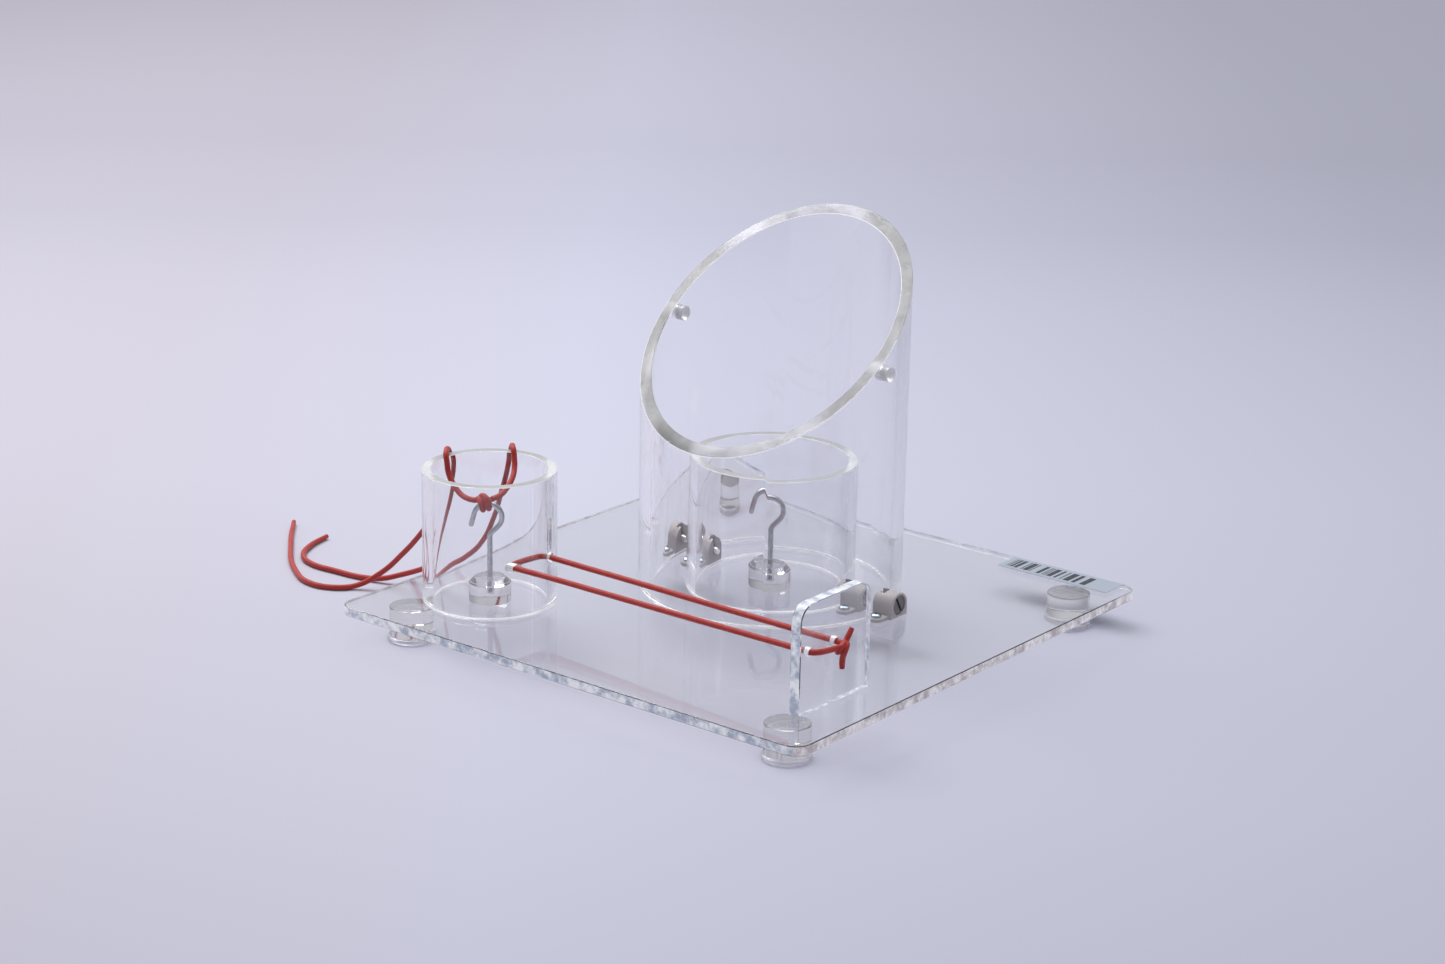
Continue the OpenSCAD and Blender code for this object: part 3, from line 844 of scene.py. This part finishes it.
def makePost(s):
    low, high = lowest("band_post"), highest("band_post")
    low.z += skin
    bm = blockOf(low, high)
    rounded(bm, edgesAlong(bm, 0, lambda c: c.z > (low.z + high.z) / 2), s["corner"], 12)
    offFoot = [e for e in creases(bm) if e.verts[0].co.z + e.verts[1].co.z > 2 * low.z + 1e-6]
    rounded(bm, offFoot, s["edge"], 2)
    for face in bm.faces:
        if abs(face.normal.x) < 0.3:
            face.material_index = 1
    piece = finishShape(bm, "band_post", [polished, sawn])
    holes = []
    for y in s["holes"]:
        hole = alongX(rodShape(s["hole"], -mm, high.x - low.x + mm, steps=40))
        holes.append(moved(hole, (low.x, y, s["holeHeight"])))
    combine(piece, holes, "DIFFERENCE")
    settle(piece, "board", "clear_sheet", "band_post")


makePlate(plateSet)
for footNumber in (1, 2, 3, 4):
    makeFoot(footNumber, footSet)
makePost(postSet)
print("plate, feet and post ready")


cupSet = {
    "wall": 5 * mm,
    "edge": 0.35 * mm,
    "hole": 2.5 * mm,
    "holeHeight": 47 * mm,
    "holes": (-14 * mm, 10.5 * mm),
}
innerSet = {"wall": 5 * mm, "edge": 0.35 * mm}
outerSet = {
    "wall": 6 * mm,
    "edge": 0.3 * mm,
    "rimLow": 88 * mm,
    "slope": 37,
    "turn": 5,
    "pegBore": 4.05 * mm,
    "spare": 20 * mm,  # length over the rim before the slant is cut
}
studSet = {"bore": 1.65 * mm, "axis": 6.6 * mm, "back": 3 * mm}


def wallProfile(radius, wall, bottom, top, e):
    inner = radius - wall
    return [
        (inner + e, bottom), (radius - e, bottom), (radius, bottom + e), (radius, top - e),
        (radius - e * 0.3, top - e * 0.3), (radius - e, top), (inner + e, top),
        (inner + e * 0.3, top - e * 0.3),
        (inner, top - e), (inner, bottom + e),
    ]


def rimMaterial(bm):
    # both ends of a tube and their narrow chamfers are sawn, not polished, and their materials add a painted
    # glow
    bm.normal_update()
    for face in bm.faces:
        steep = abs(face.normal.z)
        if steep > 0.25:
            face.material_index = 1 if steep > 0.75 else 2


def studBores(radius, wall):
    # both sides' bores for the studs that the housings take
    s = studSet
    place = (tubesAxis.x, tubesAxis.y + s["back"], plateTop + s["axis"])
    bores = []
    for side in (1, -1):
        near, far = radius - wall - mm, radius + mm
        ends = (near, far) if side > 0 else (-far, -near)
        bores.append(moved(alongX(rodShape(s["bore"], *ends, steps=32)), place))
    return bores


def makeCup(s):
    low, high = lowest("left_cup"), highest("left_cup")
    radius = (high.x - low.x) / 2
    profile = wallProfile(radius, s["wall"], low.z + skin, high.z, s["edge"])
    bm = moved(spun(profile, 160, closed=True), (cupAxis.x, cupAxis.y, 0))
    rimMaterial(bm)
    piece = finishShape(bm, "left_cup", [polished, rimSawn, brokenEdge])
    holes = []
    for y in s["holes"]:
        hole = alongX(rodShape(s["hole"], radius * 0.4, radius + mm, steps=40))
        holes.append(moved(hole, (cupAxis.x, cupAxis.y + y, s["holeHeight"])))
    combine(piece, holes, "DIFFERENCE")
    settle(piece, "board", "clear_tube", "left_cup")


def makeInnerTube(s):
    low, high = lowest("inner_tube"), highest("inner_tube")
    radius = (high.x - low.x) / 2
    profile = wallProfile(radius, s["wall"], low.z + skin, high.z, s["edge"])
    bm = moved(spun(profile, 180, closed=True), (tubesAxis.x, tubesAxis.y, 0))
    rimMaterial(bm)
    piece = finishShape(bm, "inner_tube", [polished, rimSawn, brokenEdge])
    combine(piece, studBores(radius, s["wall"]), "DIFFERENCE")
    settle(piece, "inner_tube_body", "clear_tube", "inner_tube")


def rimHeight(radius, s):
    # the slanted rim's height over the tube's axis
    rise = sin(radians(s["slope"])) / cos(radians(s["slope"]))
    return plateTop + s["rimLow"] + radius * rise


def makeOuterTube(s):
    low, high = lowest("outer_tube"), highest("outer_tube")
    radius, e = (high.x - low.x) / 2, s["edge"]
    inner, bottom, top = radius - s["wall"], low.z + skin, high.z + s["spare"]
    profile = [
        (inner + e, bottom), (radius - e, bottom), (radius, bottom + e), (radius, top), (inner, top),
        (inner, bottom + e),
    ]
    bm = moved(spun(profile, 200, closed=True), (tubesAxis.x, tubesAxis.y, 0))
    turn, slope = radians(s["turn"]), radians(s["slope"])
    rimNormal = Vector((sin(turn) * sin(slope), -cos(turn) * sin(slope), cos(slope)))
    onRim = Vector((tubesAxis.x, tubesAxis.y, rimHeight(radius, s)))
    everything = bm.verts[:] + bm.edges[:] + bm.faces[:]
    cut = bmesh.ops.bisect_plane(
        bm, geom=everything, dist=1e-8, plane_co=onRim, plane_no=rimNormal, clear_outer=True
    )
    cutEdges = [part for part in cut["geom_cut"] if isinstance(part, bmesh.types.BMEdge)]
    bmesh.ops.bridge_loops(bm, edges=cutEdges)
    rimEdges = [edge for edge in cutEdges if edge.is_valid]
    rounded(bm, rimEdges, e, 2)
    bmesh.ops.recalc_face_normals(bm, faces=bm.faces)
    rimMaterial(bm)
    piece = finishShape(bm, "outer_tube", [polished, rimSlant, brokenEdge])
    bores = studBores(radius, s["wall"])
    for side in (1, -1):
        x = side * (radius - s["wall"] / 2)
        height = (lowest(pegName(side)).z + highest(pegName(side)).z) / 2
        bore = alongX(rodShape(s["pegBore"], -s["wall"], s["wall"], steps=48))
        bores.append(moved(bore, (tubesAxis.x + x, tubesAxis.y, height)))
    combine(piece, bores, "DIFFERENCE")
    settle(piece, "outer_tube_body", "clear_tube", "outer_tube")


def pegName(side):
    return "rim_peg_right" if side > 0 else "rim_peg_left"


def makePeg(side):
    name = pegName(side)
    low, high = lowest(name), highest(name)
    centre = middle(name)
    peg = alongX(rodShape((high.z - low.z) / 2, low.x, high.x, 0.4 * mm, 48))
    piece = finishShape(moved(peg, (0, centre.y, centre.z)), name, [pegClear])
    settle(piece, "outer_tube_body", "clear_rod", name)


makeCup(cupSet)
makeInnerTube(innerSet)
makeOuterTube(outerSet)
makePeg(1)
makePeg(-1)
print("cup and tubes ready")


connectorSet = {
    "gap": 0.3 * mm,  # between a tube and its housing
    "length": 12 * mm,
    "width": 14 * mm,
    "height": 13 * mm,
    "edge": 0.5 * mm,
    "camRadius": 5.2 * mm,
    "camGap": 0.1 * mm,
    "camBack": 5.2 * mm,
    "camFront": 11.7 * mm,
    "slot": 1.6 * mm,
    "slotDepth": 1.3 * mm,
    "slotTurn": -59,
    "neck": 1.6 * mm,
    "head": 3 * mm,
    "headStart": 2.7 * mm,
    "headEnd": 4.5 * mm,
    "backWall": 2.3 * mm,
    "pocketEnd": 4.9 * mm,
    "slack": 0.4 * mm,
    "ear": 4.2 * mm,
    "earThickness": 2 * mm,
    "earReach": 5 * mm,
    "screw": 1.3 * mm,
    "screwHead": 2.7 * mm,
    "screwHeight": 2 * mm,
    "bite": 2.9 * mm,
}


def connectorPlace(i):
    # where a connector's own zero is, and which way it points
    side = 1 if i in (1, 3) else -1
    name = f"housing_{i}"
    x = lowest(name).x - connectorSet["gap"] if side > 0 else highest(name).x + connectorSet["gap"]
    return side, Vector((x, highest(name).y - connectorSet["width"] / 2, plateTop))


def facing(piece, i):
    # turns a piece made along X to its connector's side and puts it in place
    side, place = connectorPlace(i)
    bm = bmesh.new()
    bm.from_mesh(piece.data)
    if side < 0:
        bmesh.ops.scale(bm, vec=(-1, 1, 1), verts=bm.verts)
        bmesh.ops.reverse_faces(bm, faces=bm.faces)
    bmesh.ops.translate(bm, vec=place, verts=bm.verts)
    bm.to_mesh(piece.data)
    bm.free()
    return piece


def dropSlot(radius, start, end, s):
    # a round hole that is open to the top
    top = s["height"] + mm
    block = blockOf((start + skin, -0.99 * radius, studSet["axis"]), (end - skin / 4, 0.99 * radius, top))
    return [moved(alongX(rodShape(radius, start, end, steps=32)), (0, 0, studSet["axis"])), block]


def makeHousing(i, s):
    half, axis = s["width"] / 2, studSet["axis"]
    start, end = s["gap"], s["gap"] + s["length"]
    bm = blockOf((start, -half, skin), (end, half, s["height"]))
    rounded(bm, edgesAlong(bm, 0, lambda c: c.z > s["height"] / 2), half * 0.96, 14)
    ends = []
    for edge in creases(bm):
        first, second = (vert.co.x for vert in edge.verts)
        if abs(first - second) < skin and first > end - skin:
            ends.append(edge)
    rounded(bm, ends, s["edge"], 3)
    piece = finishShape(bm, f"housing_{i}", [plasticShell])
    earX, earY = start + s["length"] / 2, -half - s["earReach"]
    ear = moved(rodShape(s["ear"], 1.5 * skin, s["earThickness"], 0.25 * mm, 48), (earX, earY, 0))
    armHalf = 0.995 * s["ear"]
    arm = blockOf(
        (earX - armHalf, earY, 2 * skin), (earX + armHalf, -half + mm, s["earThickness"] - skin)
    )
    combine(piece, [ear, arm], "UNION")
    camBore = alongX(rodShape(s["camRadius"] + s["camGap"], s["pocketEnd"], end + mm, steps=64))
    screwHole = rodShape(s["screw"] + 0.05 * mm, -mm, s["earThickness"] + mm, steps=32)
    cuts = [moved(camBore, (0, 0, axis)), moved(screwHole, (earX, earY, 0))]
    cuts += dropSlot(s["neck"] + s["slack"], -mm, s["backWall"] + mm, s)
    cuts += dropSlot(s["head"] + s["slack"], s["backWall"], s["pocketEnd"] + 0.01 * mm, s)
    combine(piece, cuts, "DIFFERENCE")
    settle(facing(piece, i), "board", "housing_plastic", f"housing_{i}")


def makeCam(i, s):
    drum = rodShape(s["camRadius"], s["camBack"], s["camFront"], 0.35 * mm, 72)
    piece = finishShape(alongX(drum), f"cam_{i}", [camZinc])
    slot = blockOf(
        (s["camFront"] - s["slotDepth"], -2 * s["camRadius"], -s["slot"] / 2),
        (s["camFront"] + mm, 2 * s["camRadius"], s["slot"] / 2),
    )
    combine(piece, [slot], "DIFFERENCE")
    bm = bmesh.new()
    bm.from_mesh(piece.data)
    moved(bm, (0, 0, studSet["axis"]), "X", s["slotTurn"])
    bm.to_mesh(piece.data)
    bm.free()
    settle(facing(piece, i), f"cam_{i}_body", "cam_zinc", f"cam_{i}")


def makeStud(i, s):
    wall = outerSet["wall"] if i < 3 else innerSet["wall"]
    e = 0.25 * mm
    profile = [
        (0, -wall / 2), (s["neck"] - e, -wall / 2), (s["neck"], e - wall / 2), (s["neck"], s["headStart"]),
        (s["head"] - e, s["headStart"]), (s["head"], s["headStart"] + e), (s["head"], s["headEnd"] - e),
        (s["head"] - e, s["headEnd"]), (0, s["headEnd"]),
    ]
    bm = moved(alongX(spun(profile, 40)), (0, 0, studSet["axis"]))
    piece = finishShape(bm, f"cam_stud_{i}", [hookZinc])
    body = "outer_tube_body" if i < 3 else "inner_tube_body"
    settle(facing(piece, i), body, "cam_zinc", f"cam_stud_{i}")


def makeScrew(i, s):
    top, r, h = s["earThickness"], s["screwHead"], s["screwHeight"]
    profile = [
        (0, -s["bite"]), (s["screw"] * 0.5, -s["bite"]), (s["screw"], 0.8 * mm - s["bite"]),
        (s["screw"], top),
    ]
    profile += [(r - 0.15 * mm, top), (r, top + 0.15 * mm), (r, top + h * 0.45)]
    profile += [(r * cos(radians(a)), top + h * 0.45 + h * 0.55 * sin(radians(a))) for a in (20, 40, 60, 78)]
    profile.append((0, top + h))
    x, y = s["gap"] + s["length"] / 2, -s["width"] / 2 - s["earReach"]
    piece = finishShape(moved(spun(profile, 40), (x, y, 0)), f"housing_screw_{i}", [screwZinc], sharp=30)
    cross = []
    for turn in (20, 110):
        arm = blockOf((-r / 2, -0.4 * mm, top + h / 2), (r / 2, 0.4 * mm, top + 2 * h))
        cross.append(moved(arm, (x, y, 0), "Z", turn))
    combine(piece, cross, "DIFFERENCE", sharp=30)
    settle(facing(piece, i), "board", "screw_zinc", f"housing_screw_{i}")


for number in (1, 2, 3, 4):
    makeHousing(number, connectorSet)
    makeCam(number, connectorSet)
    makeStud(number, connectorSet)
    makeScrew(number, connectorSet)
print("connectors ready")


def makeLabel():
    low, high = lowest("stock_label"), highest("stock_label")
    low.z += skin
    bm = blockOf(low, high)
    rounded(bm, edgesAlong(bm, 2), 1.2 * mm, 5)
    piece = finishShape(bm, "stock_label", [paper])
    settle(piece, "board", "label_paper", "stock_label")


makeLabel()
print("label ready")


stageSet = {
    "floorHalf": 9.0,
    "ahead": radians(cameraSet["heading"]),
    # the paper's colour with painted light falloff from the near floor to the far floor, as seen from the
    # camera
    "near": -0.4,
    "far": 2.3,
    "tones": [
        (0.0, (0.57, 0.575, 0.68)), (0.065, (0.59, 0.595, 0.7)), (0.17, (0.6, 0.605, 0.71)),
        (0.24, (0.6, 0.605, 0.715)), (0.31, (0.585, 0.59, 0.7)), (0.41, (0.56, 0.565, 0.675)),
        (0.51, (0.52, 0.525, 0.63)), (0.63, (0.53, 0.53, 0.635)), (0.77, (0.605, 0.605, 0.715)),
        (0.94, (0.71, 0.705, 0.83)), (1.0, (0.75, 0.75, 0.87)),
    ],
    # painted shade and tint from the left of the view to its right: darker towards the right, pinker at the
    # left
    "leftTint": (0.97, 0.92, 0.885),
    "midTint": (1.0, 0.995, 0.99),
    "rightTint": (0.8, 0.8, 0.8),
    "world": (0.86, 0.87, 0.94),
    "room": (0.25, 0.24, 0.27),
    "worldStrength": 0.62,
    "rightDim": 0.25,  # brightness of the world at the right of the view
}


def makeFloor(s):
    bm = bmesh.new()
    bmesh.ops.create_grid(bm, x_segments=2, y_segments=2, size=s["floorHalf"])
    bmesh.ops.translate(bm, vec=(0, 0, -0.02 * mm), verts=bm.verts)
    material, tree, shader, _ = startMaterial("floorPaper")
    shader.inputs["Roughness"].default_value = 0.75
    shader.inputs["Specular IOR Level"].default_value = 0.15
    where = tree.nodes.new("ShaderNodeTexCoord")
    away = addNode(tree, "ShaderNodeVectorMath", operation="DOT_PRODUCT")
    away.inputs[1].default_value = (cos(s["ahead"]), sin(s["ahead"]), 0)
    run = addNode(tree, "ShaderNodeMapRange", From_Min=s["near"], From_Max=s["far"])
    tree.links.new(where.outputs["Object"], away.inputs[0])
    tree.links.new(away.outputs["Value"], run.inputs["Value"])
    # painted light falloff along the view, on top of the paper's colour
    colourFrom(tree, run.outputs[0], s["tones"], shader)
    tone = shader.inputs["Base Color"].links[0].from_socket
    # painted shade across the view, darker towards the right
    side = addNode(tree, "ShaderNodeVectorMath", operation="DOT_PRODUCT")
    side.inputs[1].default_value = (sin(s["ahead"]), -cos(s["ahead"]), 0)
    fall = addNode(tree, "ShaderNodeMapRange", From_Min=-0.4, From_Max=0.55)
    tint = addNode(tree, "ShaderNodeVectorMath", operation="MULTIPLY")
    tree.links.new(where.outputs["Object"], side.inputs[0])
    tree.links.new(side.outputs["Value"], fall.inputs["Value"])
    stops = [(0.0, s["leftTint"]), (0.3, s["midTint"]), (1.0, s["rightTint"])]
    across = colourFrom(tree, fall.outputs[0], stops, shader)
    tree.links.new(tone, tint.inputs[0])
    tree.links.new(across.outputs["Color"], tint.inputs[1])
    tree.links.new(tint.outputs[0], shader.inputs["Base Color"])
    mesh = bpy.data.meshes.new("floor")
    bm.to_mesh(mesh)
    bm.free()
    mesh.materials.append(material)
    floor = bpy.data.objects.new("floor", mesh)
    scene.collection.objects.link(floor)


def makeWorld(s):
    # pale all round, darker towards the dim room behind the camera, to give clear edges and metal contrast
    world = bpy.data.worlds.new("studio")
    scene.world = world
    world.use_nodes = True
    tree = world.node_tree
    tree.nodes.clear()
    out = tree.nodes.new("ShaderNodeOutputWorld")
    sky = tree.nodes.new("ShaderNodeBackground")
    where = tree.nodes.new("ShaderNodeTexCoord")
    behind = addNode(tree, "ShaderNodeVectorMath", operation="DOT_PRODUCT")
    behind.inputs[1].default_value = (-cos(s["ahead"]), -sin(s["ahead"]), -0.1)
    ramp = tree.nodes.new("ShaderNodeValToRGB")
    ramp.color_ramp.elements[0].position = 0.35
    ramp.color_ramp.elements[0].color = (*s["world"], 1)
    ramp.color_ramp.elements[1].position = 0.8
    ramp.color_ramp.elements[1].color = (*s["room"], 1)
    right = addNode(tree, "ShaderNodeVectorMath", operation="DOT_PRODUCT")
    right.inputs[1].default_value = (sin(s["ahead"]), -cos(s["ahead"]), 0)
    dim = addNode(tree, "ShaderNodeMapRange", From_Min=0.3, From_Max=0.9, To_Min=1, To_Max=s["rightDim"])
    toned = addNode(tree, "ShaderNodeVectorMath", operation="SCALE")
    tree.links.new(where.outputs["Generated"], behind.inputs[0])
    tree.links.new(where.outputs["Generated"], right.inputs[0])
    tree.links.new(behind.outputs["Value"], ramp.inputs["Fac"])
    tree.links.new(right.outputs["Value"], dim.inputs["Value"])
    tree.links.new(ramp.outputs["Color"], toned.inputs[0])
    tree.links.new(dim.outputs[0], toned.inputs["Scale"])
    tree.links.new(toned.outputs[0], sky.inputs["Color"])
    sky.inputs["Strength"].default_value = s["worldStrength"]
    tree.links.new(sky.outputs[0], out.inputs["Surface"])


lampSets = {
    "keyLamp": {"place": (-1.3, 0.25, 1.7), "target": (0, 0, 0.05), "size": (1.1, 1.1), "power": 25},
    "topLamp": {"place": (0.2, 0.5, 2.4), "target": (0, 0.1, 0), "size": (1.8, 1.8), "power": 17},
    "sideStrip": {"place": (1.5, 0.9, 0.9), "target": (0, 0, 0.1), "size": (0.25, 1.3), "power": 3},
}


def makeLamp(name):
    s = lampSets[name]
    data = bpy.data.lights.new(name, "AREA")
    data.shape = "RECTANGLE"
    data.size, data.size_y = s["size"]
    data.energy = s["power"]
    lamp = bpy.data.objects.new(name, data)
    lamp.location = s["place"]
    lamp.rotation_mode = "QUATERNION"
    lamp.rotation_quaternion = (Vector(s["place"]) - Vector(s["target"])).to_track_quat("Z", "Y")
    scene.collection.objects.link(lamp)


makeFloor(stageSet)
makeWorld(stageSet)
for lampName in lampSets:
    makeLamp(lampName)
print("floor, world and lamps ready")
